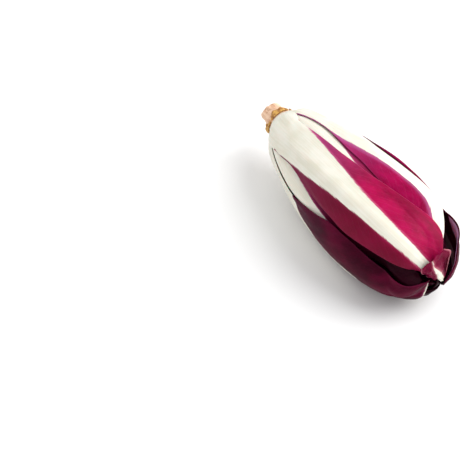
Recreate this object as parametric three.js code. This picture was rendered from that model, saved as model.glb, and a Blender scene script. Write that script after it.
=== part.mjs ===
// A head of long red radicchio lying on its side: a cut root stub, five layers of
// pointed leaves wrapped round each other, and the bases of leaves that were trimmed off.
//
// Every leaf is drawn on one smooth reference body that is round about the X axis. A place
// on it has three coordinates:
//   s      millimetres along the surface from the leaf bases (0) towards the pole
//   angle  degrees round the axis; 0 faces up and to the front, positive turns to the back
//   n      millimetres outwards from the reference body
// The leaves are laid on from the heart outwards. Each one rests on an envelope of all the
// leaves that are under it, so no two of them touch.
//
// Frame: millimetres, +Z up, root towards -X and leaf tips towards +X. The origin is below
// the middle of the head, on the surface that it lies on.
import * as THREE from "three";

// ---------- Driving dimensions, in millimetres and degrees ----------
const HEAD_LENGTH = 178; // along the axis, from the leaf bases to the pole
const GIRTH = 60; // size of the outline formula in bodyRadius
const BASE_SHIFT = 0.03; // how blunt the outline is at the leaf bases
const BASE_POWER = 0.51; // how fast it widens from there
const END_POWER = 1.6; // how early it narrows again
const END_ROUNDNESS = 0.335; // how blunt it is at the pole
const RAY_BACK = 37; // the rays near the pole fan out from this far behind it
const RAY_POWER = 8;
const ROLL = -28; // the head has rolled this far about its axis
const FLAT_DEPTH = 1.5; // how far the underside is pressed flat
const SKIN = 0.6; // least thickness left above the flat
const WRAPPER_LIFT = 1.4; // the flat lies this much higher inside the head
const GAP = 0.5; // clearance under an outer or wrapper leaf
const INNER_GAP = 0.9; // clearance under a leaf deeper in the head
const STUB_LENGTH = 19; // the cut root stub outside the leaves
const CORE_DEPTH = 62; // how far the core reaches into the head

// ---------- The reference body ----------
const MERIDIAN_STEPS = 800;

function bodyRadius(x) {
  const along = THREE.MathUtils.clamp(x / HEAD_LENGTH, 0, 1);
  const rise = (along + BASE_SHIFT) ** BASE_POWER;
  const fall = (1 - along ** END_POWER) ** END_ROUNDNESS;
  return GIRTH * rise * fall;
}

// Points along the outline with their distance s from the leaf bases.
const meridian = [];
for (let i = 0; i <= MERIDIAN_STEPS; i++) {
  const x = HEAD_LENGTH * (1 - (1 - i / MERIDIAN_STEPS) ** 4);
  const r = bodyRadius(x);
  const last = meridian.at(-1);
  const s = last ? last.s + Math.hypot(x - last.x, r - last.r) : 0;
  meridian.push({ s, x, r });
}
const MERIDIAN_LENGTH = meridian.at(-1).s;

function outlineAt(s) {
  let low = 0;
  let high = meridian.length - 1;
  while (high - low > 1) {
    const middle = (low + high) >> 1;
    if (meridian[middle].s <= s) low = middle;
    else high = middle;
  }
  const a = meridian[low];
  const b = meridian[high];
  const t = THREE.MathUtils.clamp((s - a.s) / (b.s - a.s), 0, 1);
  return { x: a.x + (b.x - a.x) * t, r: a.r + (b.r - a.r) * t };
}

// The outline point at s and the unit direction in which n is measured there.
function rayAt(s) {
  const { x, r } = outlineAt(s);
  const back = RAY_BACK * (x / HEAD_LENGTH) ** RAY_POWER;
  const length = Math.hypot(back, r);
  return { x, r, outX: back / length, outR: r / length };
}

function place(s, angle, n) {
  const ray = rayAt(s);
  const radius = ray.r + n * ray.outR;
  const turn = THREE.MathUtils.degToRad(angle + ROLL);
  return new THREE.Vector3(
    ray.x + n * ray.outX,
    radius * Math.sin(turn),
    radius * Math.cos(turn),
  );
}

// ---------- Smooth curves through a few points ----------
const lerp = THREE.MathUtils.lerp;

// The value at s of a smooth curve through [s, value] points, level beyond its ends.
function along(points, s) {
  const last = points.length - 1;
  if (s <= points[0][0]) return points[0][1];
  if (s >= points[last][0]) return points[last][1];
  const i = points.findIndex((p) => p[0] > s) - 1;
  const slope = (k) => {
    const a = points[Math.max(k - 1, 0)];
    const b = points[Math.min(k + 1, last)];
    return (b[1] - a[1]) / (b[0] - a[0]);
  };
  const [s0, v0] = points[i];
  const [s1, v1] = points[i + 1];
  const h = s1 - s0;
  const t = (s - s0) / h;
  const rise = t * t * (3 - 2 * t);
  const curve = slope(i) * t * (1 - t) ** 2 - slope(i + 1) * t * t * (1 - t);
  return lerp(v0, v1, rise) + h * curve;
}

// ---------- The envelope that the next leaf rests on ----------
const CELL_S = 2;
const CELL_ANGLE = 2;
const ROWS = Math.ceil(MERIDIAN_LENGTH / CELL_S) + 1;
const COLUMNS = 360 / CELL_ANGLE;
const SMOOTHING = 4; // cells on each side, in both directions
const EDGE_REACH = 1.05; // a leaf counts this far across, so that its margins are covered too

const cell = (i, j) => i * COLUMNS + ((j % COLUMNS) + COLUMNS) % COLUMNS;
const envelope = new Float64Array(ROWS * COLUMNS);

// Each cell becomes pick() of its neighbours up to SMOOTHING cells away along one direction.
function filtered(grid, alongRows, pick) {
  const made = new Float64Array(grid.length);
  for (let i = 0; i < ROWS; i++)
    for (let j = 0; j < COLUMNS; j++) {
      const near = [];
      for (let k = -SMOOTHING; k <= SMOOTHING; k++) {
        const row = THREE.MathUtils.clamp(alongRows ? i + k : i, 0, ROWS - 1);
        near.push(grid[cell(row, alongRows ? j : j + k)]);
      }
      made[cell(i, j)] = pick(near);
    }
  return made;
}

const highest = (near) => Math.max(...near);
const average = (near) => near.reduce((sum, n) => sum + n, 0) / near.length;

// A smooth surface that lies nowhere below the envelope.
function cover() {
  let grid = envelope;
  for (const pick of [highest, average])
    for (const alongRows of [true, false]) grid = filtered(grid, alongRows, pick);
  return grid;
}

function sample(grid, s, angle) {
  const i = THREE.MathUtils.clamp(s / CELL_S, 0, ROWS - 1.001);
  const j = angle / CELL_ANGLE;
  const [i0, j0] = [Math.floor(i), Math.floor(j)];
  const [ti, tj] = [i - i0, j - j0];
  const row = (k) => lerp(grid[cell(k, j0)], grid[cell(k, j0 + 1)], tj);
  return lerp(row(i0), row(i0 + 1), ti);
}

// ---------- One leaf ----------
const RIB_HALF_WIDTH = [[0, 16], [40, 14], [60, 12.5], [80, 11], [100, 9.2], [140, 6.4], [190, 5]];
const RIB_THICKNESS = [[0, 2.2], [15, 3.6], [60, 3.8], [100, 3], [150, 2], [190, 1.3]];
const RIB_RIDGE = 0.3; // the share of the rib that stands out of the leaf's outer face
const BLADE_THICKNESS = 1;

const wrapped = (angle) => THREE.MathUtils.euclideanModulo(angle + 180, 360) - 180;

// How far across the leaf an angle is: 0 on the rib, 1 and -1 on the margins.
function across(leaf, s, angle) {
  const off = wrapped(angle - along(leaf.rib, s));
  return off / along(off > 0 ? leaf.right : leaf.left, s);
}

// 1 on the middle of the rib, falling smoothly to 0 beside it.
function ribShare(leaf, s, angle) {
  const off = THREE.MathUtils.degToRad(wrapped(angle - along(leaf.rib, s)));
  const distance = Math.abs(off) * outlineAt(s).r;
  const reach = Math.min(1, distance / (along(RIB_HALF_WIDTH, s) * leaf.ribScale));
  return 0.5 + 0.5 * Math.cos(Math.PI * reach);
}

// The n of a leaf's two faces at one place, resting on the cover below it.
function faces(leaf, below, s, angle) {
  const share = ribShare(leaf, s, angle);
  const rib = along(RIB_THICKNESS, s) * leaf.ribScale;
  const thickness = BLADE_THICKNESS + (rib - BLADE_THICKNESS) * share;
  const u = Math.min(1, Math.abs(across(leaf, s, angle)));
  const droop = along(leaf.droop, s) * u ** 3;
  const crest = along(leaf.crest, s) * share;
  const wanted = along(leaf.level, s) - droop + crest + rib * RIB_RIDGE * share - thickness;
  const inner = Math.max(wanted, sample(below, s, angle) + leaf.gap);
  return { inner, outer: inner + thickness };
}

// Raises the envelope to the outer face of a leaf, whose heights are given at its points.
function layOn(leaf, stations, heights) {
  for (let i = 0; i < ROWS; i++)
    for (let j = 0; j < COLUMNS; j++) {
      const s = i * CELL_S;
      const u = across(leaf, s, j * CELL_ANGLE);
      if (s < leaf.start - CELL_S || s > leaf.end + CELL_S || Math.abs(u) > EDGE_REACH) continue;
      const k = THREE.MathUtils.clamp(stations.findIndex((p) => p > s), 1, leaf.rows);
      const down = THREE.MathUtils.clamp((s - stations[k - 1]) / (stations[k] - stations[k - 1]), 0, 1);
      const side = THREE.MathUtils.clamp(((u + 1) / 2) * leaf.columns, 0, leaf.columns - 0.001);
      const column = Math.floor(side);
      const row = (h) => lerp(h[column], h[column + 1], side - column);
      const height = lerp(row(heights[k - 1]), row(heights[k]), down);
      envelope[cell(i, j)] = Math.max(envelope[cell(i, j)], height);
    }
}

// A closed shell from two grids of points, the outer one and the inner one.
function shellGeometry(outer, inner) {
  const rows = outer.length;
  const columns = outer[0].length;
  const points = [...outer.flat(), ...inner.flat()];
  const at = (face, i, j) => (face * rows + i) * columns + j;
  const index = [];
  const quad = (a, b, c, d) => index.push(a, b, c, a, c, d);
  for (let i = 0; i < rows - 1; i++)
    for (let j = 0; j < columns - 1; j++) {
      quad(at(0, i, j), at(0, i + 1, j), at(0, i + 1, j + 1), at(0, i, j + 1));
      quad(at(1, i, j), at(1, i, j + 1), at(1, i + 1, j + 1), at(1, i + 1, j));
    }
  for (let i = 0; i < rows - 1; i++) {
    quad(at(0, i, 0), at(1, i, 0), at(1, i + 1, 0), at(0, i + 1, 0));
    const j = columns - 1;
    quad(at(0, i, j), at(0, i + 1, j), at(1, i + 1, j), at(1, i, j));
  }
  for (let j = 0; j < columns - 1; j++) {
    quad(at(0, 0, j), at(0, 0, j + 1), at(1, 0, j + 1), at(1, 0, j));
    const i = rows - 1;
    quad(at(0, i, j), at(1, i, j), at(1, i, j + 1), at(0, i, j + 1));
  }
  const geometry = new THREE.BufferGeometry().setFromPoints(points);
  geometry.setIndex(index);
  geometry.computeVertexNormals();
  return geometry;
}

// The shares of a leaf's length at which it has a row of points, closer at both ends.
const ROW_BUNCHING = 0.4;
const rowShares = (count) =>
  Array.from({ length: count + 1 }, (_, i) => {
    const t = i / count;
    return t - (ROW_BUNCHING * Math.sin(2 * Math.PI * t)) / (2 * Math.PI);
  });

const columnShares = (count) =>
  Array.from({ length: count + 1 }, (_, j) => (2 * j) / count - 1);

const FLOOR = -(bodyRadius(0.6 * HEAD_LENGTH) - FLAT_DEPTH);

// Presses a point flat against the surface that the head lies on.
function pressed(point, height) {
  point.z = Math.max(point.z, FLOOR + height);
  return point;
}

function leafMesh(leaf) {
  const below = cover();
  const outer = [];
  const inner = [];
  const heights = [];
  const stations = rowShares(leaf.rows).map((share) => lerp(leaf.start, leaf.end, share));
  for (const s of stations) {
    const angles = columnShares(leaf.columns).map(
      (u) => along(leaf.rib, s) + u * along(u > 0 ? leaf.right : leaf.left, s),
    );
    const row = angles.map((angle) => faces(leaf, below, s, angle));
    outer.push(row.map((n, j) => pressed(place(s, angles[j], n.outer), leaf.lift)));
    inner.push(row.map((n, j) => pressed(place(s, angles[j], n.inner), leaf.lift + SKIN)));
    heights.push(row.map((n) => n.outer));
  }
  layOn(leaf, stations, heights);
  const mesh = new THREE.Mesh(shellGeometry(outer, inner), leaf.material);
  mesh.name = leaf.name;
  return mesh;
}

// ---------- The leaves ----------
const leafMaterial = (name, colour) =>
  new THREE.MeshStandardMaterial({ name, color: colour, roughness: 0.4, metalness: 0 });
const OUTER_LEAF = leafMaterial("outer_leaf", 0x8c1246);
const WRAPPER_LEAF = leafMaterial("wrapper_leaf", 0x9a1a50);
const INNER_LEAF = leafMaterial("inner_leaf", 0xc06a86);
const HEART_LEAF = leafMaterial("heart_leaf", 0xe8c9c4);
const ROOT = new THREE.MeshStandardMaterial({
  name: "root", color: 0xc79a72, roughness: 0.85, metalness: 0,
});

const OUTER = {
  start: 0, end: 190, rows: 15, columns: 13, ribScale: 1, gap: GAP, lift: 0, material: OUTER_LEAF,
  level: [[0, 0]],
  droop: [[0, 0], [100, 0.6], [150, 2.4], [190, 2.4]],
  crest: [[0, 0]], // how far the rib is bowed outwards
};

const outerLeaves = [
  {
    ...OUTER,
    name: "outer_leaf_under",
    level: [[0, 0], [170, 0], [182, 0.6], [190, 1.8]],
    rib: [[0, 199], [100, 201], [170, 203], [190, 209]],
    left: [[0, 35], [20, 35], [45, 29], [75, 28], [110, 33], [150, 38], [180, 36], [190, 16]],
    right: [[0, 35], [20, 35], [45, 29], [75, 28], [110, 33], [150, 37], [180, 33], [190, 14]],
  },
  {
    ...OUTER,
    name: "outer_leaf_back",
    level: [[0, 0], [176, 0], [186, -1.5], [190, -3]],
    rib: [
      [0, 57], [20, 54], [45, 47], [65, 45], [85, 47], [100, 50], [128, 60], [150, 67], [165, 60], [180, 52],
    ],
    left: [
      [0, 30], [20, 26], [35, 19], [55, 15], [70, 17], [85, 22], [100, 26.5], [128, 38], [152, 42], [170, 28],
      [180, 10], [190, 6],
    ],
    right: [
      [0, 30], [20, 32], [45, 27], [75, 26], [100, 29], [128, 31], [148, 26], [160, 13], [172, 8], [190, 4],
    ],
    ribScale: 1.15,
  },
  {
    ...OUTER,
    name: "outer_leaf_front_low",
    end: 199,
    gap: 1.1,
    level: [[0, 0], [166, 0], [178, -0.6], [190, -0.4], [199, -1.5]],
    droop: [[0, 0], [100, 0.6], [130, 2.5], [150, 5.5], [170, 6], [182, 4.5], [190, 2], [199, 0.5]],
    rib: [[0, -95], [40, -97], [70, -101], [100, -104], [199, -106]],
    left: [[0, 32], [20, 32], [45, 27], [75, 25], [110, 27], [150, 30], [176, 34], [190, 31], [199, 22]],
    right: [
      [0, 33], [20, 34], [40, 31], [60, 33], [80, 39], [100, 46], [118, 50], [135, 50], [162, 47],
      [175, 45], [186, 41], [194, 38], [199, 24],
    ],
  },
  {
    ...OUTER,
    name: "outer_leaf_hood",
    end: 191,
    gap: 0.9,
    level: [[0, 0], [140, 0], [155, 0.6], [168, 1.2], [184, 2.2], [191, 2.8]],
    droop: [[0, 0], [100, 0.6], [150, 0], [172, -1.5], [191, -1.5]],
    rib: [[0, 125], [100, 128], [160, 136], [180, 146], [191, 158]],
    left: [
      [0, 36], [20, 35], [45, 29], [75, 27], [110, 28], [140, 31], [162, 43], [176, 60], [184, 64], [191, 40],
    ],
    right: [[0, 36], [20, 35], [45, 29], [75, 28], [110, 33], [150, 38], [175, 32], [184, 25], [191, 12]],
  },
  {
    ...OUTER,
    name: "outer_leaf_front",
    end: 196,
    gap: 0.8,
    level: [[0, 0], [176, 0], [184, -0.6], [188, -2.4], [191, -7], [196, -16]],
    rib: [[0, -17], [20, -16.5], [40, -14], [60, -11.5], [100, -9], [140, -7.6], [160, -6.4], [190, -4]],
    left: [
      [0, 42], [20, 42], [32, 33], [45, 28], [60, 24.5], [80, 26.5], [105, 29.5], [130, 33], [152, 31.5],
      [175, 30], [188, 26], [196, 18],
    ],
    right: [
      [0, 41], [20, 42], [32, 31], [45, 27], [75, 25.5], [100, 26], [128, 31], [152, 40], [175, 56],
      [186, 52], [196, 32],
    ],
  },
];

const WRAPPER = {
  start: 13, end: 196, rows: 13, columns: 12, ribScale: 0.95,
  gap: GAP, lift: WRAPPER_LIFT, material: WRAPPER_LEAF,
  level: [[13, -4.2], [45, -4.4], [80, -3.6], [110, -3.6], [135, -5], [160, -7], [182, -8.5], [196, -12]],
  droop: [[0, 0], [90, 0.5], [190, 1.5]],
  crest: [[13, 2.4], [60, 2.6], [90, 1.6], [115, 0.4], [140, 0]],
};
const WRAPPER_WIDTH = [[13, 40], [45, 36], [75, 38], [110, 43], [150, 44], [180, 42], [196, 20]];
const FRONT_WRAPPER = {
  level: [[13, -4.2], [45, -3.4], [80, -2], [110, -1.8], [135, -3.4], [160, -7], [182, -8.5], [196, -12]],
  crest: [[13, 2.4], [60, 1.6], [90, 0.6], [115, 0]],
};
const LOW_WRAPPER = {
  level: [[13, -4.2], [45, -4.4], [80, -3.6], [105, -3.8], [125, -6.5], [160, -11], [182, -13], [196, -17]],
};

const wrapperLeaves = [
  ["wrapper_leaf_under", [[0, 236], [190, 236]], {}],
  ["wrapper_leaf_back", [[0, 92], [100, 96], [190, 102]], {}],
  ["wrapper_leaf_front", [[0, 25], [40, 21], [65, 15], [85, 11.5], [140, 6], [190, 10]], FRONT_WRAPPER],
  ["wrapper_leaf_front_low", [[0, -56], [57, -53], [80, -54.5], [140, -60], [190, -56]], LOW_WRAPPER],
  ["wrapper_leaf_crown", [[0, 163], [100, 165], [198, 168]], { end: 198, gap: 0.7 }],
].map(([name, rib, more]) => ({
  ...WRAPPER, name, rib, left: WRAPPER_WIDTH, right: WRAPPER_WIDTH, ...more,
}));

// A ring of like leaves deeper in the head, spaced evenly round it.
function ring(name, count, firstAngle, more) {
  return Array.from({ length: count }, (_, k) => {
    const angle = firstAngle + (k * 360) / count;
    const full = more.fullWidth;
    const width = [
      [more.start, full * 0.86],
      [lerp(more.start, more.end, 0.5), full],
      [lerp(more.start, more.end, 0.85), full * 0.9],
      [more.end, full * 0.35],
    ];
    return {
      ...more, name: `${name}_${k + 1}`, left: width, right: width,
      rib: [[more.start, angle], [more.end, angle + 6]],
      droop: [[0, 0]], crest: [[0, 0]], rows: 8, gap: INNER_GAP, lift: WRAPPER_LIFT,
    };
  });
}

const innerLeaves = [
  ...ring("heart_leaf", 3, 40, {
    start: 56, end: 197, fullWidth: 66, columns: 12, ribScale: 0.6, material: HEART_LEAF,
    level: [[50, -24.5], [90, -27], [130, -28], [180, -25], [197, -18]],
  }),
  ...ring("deep_leaf", 4, 10, {
    start: 42, end: 197, fullWidth: 52, columns: 12, ribScale: 0.75, material: HEART_LEAF,
    level: [[42, -19], [90, -20.5], [130, -21.5], [165, -20.5], [197, -17]],
  }),
  ...ring("inner_leaf", 5, -20, {
    start: 27, end: 197, fullWidth: 42, columns: 12, ribScale: 0.85, material: INNER_LEAF,
    level: [[27, -11.5], [60, -11.5], [110, -12], [150, -13.5], [184, -13.5], [197, -14.5]],
  }),
];

// ---------- The root: stub outside, core inside ----------
const CORE_SIDES = 28;
const STUB_PROFILE = [[-STUB_LENGTH, 6.2], [-STUB_LENGTH + 1.2, 7.2], [-9, 8.9], [-3, 10.2], [-0.6, 10.4]];
const CORE_PROFILE = [[0.4, 6.6], [12, 6.4], [30, 5], [48, 3.2], [CORE_DEPTH - 2, 1.4]];
const CUT_SLANT = 0.35; // how much the cut end leans

// The core's radius where it passes under the leaves.
const coreRadius = (x) => (x > CORE_DEPTH ? 0 : along(CORE_PROFILE, x));

function rootMesh() {
  const ends = [[-STUB_LENGTH, 0], [CORE_DEPTH, 0]];
  const outline = [ends[0], ...STUB_PROFILE, ...CORE_PROFILE, ends[1]];
  const points = outline.map(([x, r]) => new THREE.Vector2(r, x));
  const geometry = new THREE.LatheGeometry(points, CORE_SIDES);
  geometry.rotateZ(-Math.PI / 2); // the lathe's Y axis becomes +X
  const position = geometry.getAttribute("position");
  for (let i = 0; i < position.count; i++) {
    const x = position.getX(i);
    const outside = THREE.MathUtils.clamp((-x - 8) / (STUB_LENGTH - 8), 0, 1);
    position.setX(i, x + outside * CUT_SLANT * position.getZ(i));
  }
  const mesh = new THREE.Mesh(geometry, ROOT);
  mesh.name = "root_stub";
  return mesh;
}

function layOnCore() {
  for (let i = 0; i < ROWS; i++) {
    const { x, r } = outlineAt(i * CELL_S);
    for (let j = 0; j < COLUMNS; j++) envelope[cell(i, j)] = coreRadius(x) - r;
  }
}

// ---------- Bases of leaves that were trimmed away, round the collar ----------
const COLLAR_CLEARANCE = 0.4;
const COLLAR = { back: -6, front: -0.8, thickness: 1.3, steps: 4, columns: 8 };

function collarMesh(name, angle, halfWidth, reach) {
  const outer = [];
  const inner = [];
  for (let i = 0; i <= COLLAR.steps; i++) {
    const t = i / COLLAR.steps;
    const outerRow = [];
    const innerRow = [];
    for (const u of columnShares(COLLAR.columns)) {
      const back = COLLAR.back + reach * u * u;
      const x = lerp(back, COLLAR.front, t);
      const turn = THREE.MathUtils.degToRad(angle + ROLL + u * halfWidth);
      const under = along(STUB_PROFILE, x) + COLLAR_CLEARANCE;
      const thickness = COLLAR.thickness * lerp(0.35, 1, t) * (1 - 0.6 * u * u);
      const ringPoint = (r) => new THREE.Vector3(x, r * Math.sin(turn), r * Math.cos(turn));
      outerRow.push(ringPoint(under + thickness));
      innerRow.push(ringPoint(under));
    }
    outer.push(outerRow);
    inner.push(innerRow);
  }
  const mesh = new THREE.Mesh(shellGeometry(outer, inner), ROOT);
  mesh.name = name;
  return mesh;
}

// ---------- The head ----------
const head = new THREE.Group();
head.add(rootMesh());
head.add(collarMesh("trimmed_base_front", 12, 40, 3));
head.add(collarMesh("trimmed_base_low", -78, 44, 4));
head.add(collarMesh("trimmed_base_back", 110, 46, 2));
head.add(collarMesh("trimmed_base_under", 200, 38, 3.5));
layOnCore();
for (const leaf of [...innerLeaves, ...wrapperLeaves, ...outerLeaves]) head.add(leafMesh(leaf));

// The origin goes to the middle of the underside.
const box = new THREE.Box3().setFromObject(head, true);
const middle = box.getCenter(new THREE.Vector3());
head.position.set(-middle.x, -middle.y, -box.min.z);

export default head;
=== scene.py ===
"""A head of long red radicchio lying on a pale floor: 22 leaves wrapped round a cut root stub.

Every leaf is drawn on one reference body that is round about the X axis. A place on it has three
coordinates: s, millimetres along the surface from the leaf bases to the pole; angle, degrees round
the axis; and n, millimetres outwards. The leaves are laid on from the heart outwards, each on a
smooth cover of what is under it. The shapes are made in millimetres and scaled at the end.
"""

import math

import bpy
import numpy as np
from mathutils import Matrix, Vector


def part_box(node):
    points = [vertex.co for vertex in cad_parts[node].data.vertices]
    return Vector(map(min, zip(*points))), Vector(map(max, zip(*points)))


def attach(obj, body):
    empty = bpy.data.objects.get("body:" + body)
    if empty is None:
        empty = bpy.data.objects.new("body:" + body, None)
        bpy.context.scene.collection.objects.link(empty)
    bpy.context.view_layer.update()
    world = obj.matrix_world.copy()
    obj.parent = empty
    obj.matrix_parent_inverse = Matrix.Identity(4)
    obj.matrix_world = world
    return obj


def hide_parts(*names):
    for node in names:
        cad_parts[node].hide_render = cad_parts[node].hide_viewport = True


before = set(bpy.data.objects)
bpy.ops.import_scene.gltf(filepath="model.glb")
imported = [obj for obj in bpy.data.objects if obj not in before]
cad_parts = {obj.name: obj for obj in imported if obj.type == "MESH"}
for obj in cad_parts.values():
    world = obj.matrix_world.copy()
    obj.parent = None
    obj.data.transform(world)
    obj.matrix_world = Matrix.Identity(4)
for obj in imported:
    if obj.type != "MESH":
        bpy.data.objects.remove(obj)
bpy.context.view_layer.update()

MM = 0.001

# ---------------------------------------------------------------- the reference body
HEAD_LENGTH = 178.0  # from the leaf bases to the tips' pole
GIRTH = 60.0  # scales the radius, which is about 39 at the widest
BASE_SHIFT = 0.03  # opens the base out round the stub
BASE_POWER = 0.51  # how fast the head swells from its base
END_POWER = 1.6  # how late it narrows again
END_ROUNDNESS = 0.335  # and how blunt its end is
RAY_BACK = 37.0  # at the pole, the rays of n fan out from this far behind it
RAY_POWER = 8  # how late along the head they begin to lean forward
ROLL = -28.0  # degrees that the head is rolled about its axis
FLAT_DEPTH = 1.5  # how far the underside is pressed flat
FLAT_PLACE = 0.6  # the share of the head's length where the flat is measured, near its widest
CORE_DEPTH = 62.0  # how far the core reaches into the head

root_low, root_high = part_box("root_stub")
AXIS_START = np.array([  # the centre of the leaf bases in the CAD frame
    root_high.x / MM - CORE_DEPTH,
    (root_low.y + root_high.y) / 2 / MM,
    (root_low.z + root_high.z) / 2 / MM,
])


def body_radius(x):
    """The reference body's radius at x along its axis."""
    share = np.clip(np.asarray(x, float) / HEAD_LENGTH, 0, 1)
    return GIRTH * (share + BASE_SHIFT) ** BASE_POWER * (1 - share ** END_POWER) ** END_ROUNDNESS


MERIDIAN_X = HEAD_LENGTH * (1 - (1 - np.linspace(0, 1, 1601)) ** 4)
MERIDIAN_R = body_radius(MERIDIAN_X)
MERIDIAN_S = np.concatenate([[0], np.cumsum(np.hypot(np.diff(MERIDIAN_X), np.diff(MERIDIAN_R)))])
MERIDIAN_LENGTH = MERIDIAN_S[-1]
FLOOR = -(float(body_radius(FLAT_PLACE * HEAD_LENGTH)) - FLAT_DEPTH)


def outline(s):
    """The x and the radius of the reference body at s along its surface."""
    return np.interp(s, MERIDIAN_S, MERIDIAN_X), np.interp(s, MERIDIAN_S, MERIDIAN_R)


def place(s, angle, n):
    """Points in millimetres about the head's axis."""
    x, r = outline(s)
    back = RAY_BACK * (x / HEAD_LENGTH) ** RAY_POWER
    length = np.hypot(back, r)
    radius = r + n * r / length
    turn = np.radians(angle + ROLL)
    return np.stack([x + n * back / length, radius * np.sin(turn), radius * np.cos(turn)], -1)


def along(points, s):
    """A smooth curve through [s, value] points, level beyond its ends."""
    p = np.asarray(points, float)
    s = np.asarray(s, float)
    if len(p) == 1:
        return np.full(s.shape, p[0, 1])
    before = np.maximum(np.arange(len(p)) - 1, 0)
    after = np.minimum(np.arange(len(p)) + 1, len(p) - 1)
    slope = (p[after, 1] - p[before, 1]) / (p[after, 0] - p[before, 0])
    i = np.clip(np.searchsorted(p[:, 0], s, side="right") - 1, 0, len(p) - 2)
    h = p[i + 1, 0] - p[i, 0]
    t = np.clip((s - p[i, 0]) / h, 0, 1)
    curve = slope[i] * t * (1 - t) ** 2 - slope[i + 1] * t * t * (1 - t)
    return p[i, 1] + (p[i + 1, 1] - p[i, 1]) * t * t * (3 - 2 * t) + h * curve


def waves(x, y, seed):
    """Smooth noise from -1 to 1 over a plane, about one bump to each unit of x and y."""
    x, y = np.broadcast_arrays(np.asarray(x, float), np.asarray(y, float))
    i, j = np.floor(x), np.floor(y)
    u, v = x - i, y - j
    u, v = u * u * (3 - 2 * u), v * v * (3 - 2 * v)

    def corner(a, b):
        h = np.sin((i + a) * 127.1 + (j + b) * 311.7 + seed * 74.7) * 43758.5453
        return 2 * (h - np.floor(h)) - 1

    low = corner(0, 0) * (1 - u) + corner(1, 0) * u
    high = corner(0, 1) * (1 - u) + corner(1, 1) * u
    return low * (1 - v) + high * v


# ---------------------------------------------------------------- the cover under the next leaf
ROWS = int(math.ceil(MERIDIAN_LENGTH)) + 1  # one cell to each millimetre
COLUMNS = 360  # and to each degree
SMOOTHING = 4  # cells to each side that a cover is smoothed over
cell_s, cell_angle = np.meshgrid(
    np.arange(ROWS, dtype=float), np.arange(COLUMNS, dtype=float), indexing="ij")


def neighbours(grid, axis):
    """The grid moved by each step of the smoothing window along an axis."""
    for k in range(-SMOOTHING, SMOOTHING + 1):
        if axis == 1:
            yield np.roll(grid, k, axis=1)
        else:
            yield grid[np.clip(np.arange(ROWS) + k, 0, ROWS - 1)]


def cover(envelope):
    """A smooth surface nowhere below the envelope."""
    grid = envelope
    for axis in (0, 1):
        grid = np.maximum.reduce(list(neighbours(grid, axis)))
    for axis in (0, 1):
        grid = sum(neighbours(grid, axis)) / (2 * SMOOTHING + 1)
    return grid


def sample(grid, s, angle):
    """The grid's value at any place, blended from the four cells round it."""
    i = np.clip(s, 0, ROWS - 1.001)
    j = np.asarray(angle) % 360
    i0, j0 = np.floor(i).astype(int), np.floor(j).astype(int) % COLUMNS
    ti, tj = i - i0, j - np.floor(j)
    j1 = (j0 + 1) % COLUMNS
    low = grid[i0, j0] * (1 - tj) + grid[i0, j1] * tj
    high = grid[i0 + 1, j0] * (1 - tj) + grid[i0 + 1, j1] * tj
    return low * (1 - ti) + high * ti


# ---------------------------------------------------------------- meshes
def make_object(name, points, faces, material, node, attributes=None):
    """A smooth piece from points in millimetres about the head's axis; it stands for a CAD node."""
    mesh = bpy.data.meshes.new(name)
    mesh.from_pydata(((np.asarray(points) + AXIS_START) * MM).tolist(), [], faces.tolist())
    for key, values in (attributes or {}).items():
        layer = mesh.attributes.new(key, "FLOAT_VECTOR", "POINT")
        layer.data.foreach_set("vector", np.asarray(values, np.float32).ravel())
    mesh.shade_smooth()
    mesh.materials.append(material)
    made = bpy.data.objects.new(name, mesh)
    bpy.context.scene.collection.objects.link(made)
    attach(made, "root")
    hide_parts(node)
    return made


def grid_faces(rows, columns, offset=0, flip=False):
    i, j = np.meshgrid(np.arange(rows - 1), np.arange(columns - 1), indexing="ij")
    a = (offset + i * columns + j).ravel()
    quads = np.stack([a, a + columns, a + columns + 1, a + 1], -1)
    return quads[:, ::-1] if flip else quads


def shell_faces(rows, columns):
    """Faces of an outer grid, an inner grid and the rim that joins them."""
    inner = rows * columns
    loop = np.concatenate([
        np.arange(columns),
        np.arange(1, rows) * columns + columns - 1,
        (rows - 1) * columns + np.arange(columns - 2, -1, -1),
        np.arange(rows - 2, 0, -1) * columns,
    ])
    ahead = np.roll(loop, -1)
    rim = np.stack([loop, ahead, ahead + inner, loop + inner], -1)
    return np.concatenate([grid_faces(rows, columns), grid_faces(rows, columns, inner, True), rim])


# ---------------------------------------------------------------- leaves
# tables are [s, value] points
RIB_HALF_WIDTH = [
    [0, 17], [18, 13.4], [30, 13.3], [40, 13.6], [60, 12.4], [80, 11], [100, 9.1], [120, 7.6], [140, 6.5],
    [165, 5.9], [190, 5],
]
RIB_THICKNESS = [[0, 2.2], [15, 3.6], [60, 3.8], [100, 3], [150, 2], [190, 1.3]]
RIB_RIDGE = 0.34  # the share of the rib that stands out of the outer face
LEAST_RIB = 2.5  # the relief of a rib never gets narrower than this
BLADE_THICKNESS = 0.9
RIM_THICKNESS = 0.3
RUFFLE = 0.035  # how wavy a margin is, as a share of the leaf's width
SKIN = 0.25  # how thin a leaf gets where it is pressed against the floor
SHADOW_STREAK_END = 12  # millimetres beyond the rib where the painted shadow streak ends
SHADOW_STREAK_FADE = 10  # and over which it fades
VEIN_SLANT = 1.9  # millimetres along the leaf to each one out from the rib, on a side vein


def smooth_max(a, b, softness=0.5):
    """The larger of two heights, with the corner between them rounded off."""
    return (a + b + np.sqrt((a - b) ** 2 + softness ** 2)) / 2


def wrapped(angle):
    """The same angle between -180 and 180 degrees."""
    return (angle + 180) % 360 - 180


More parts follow.
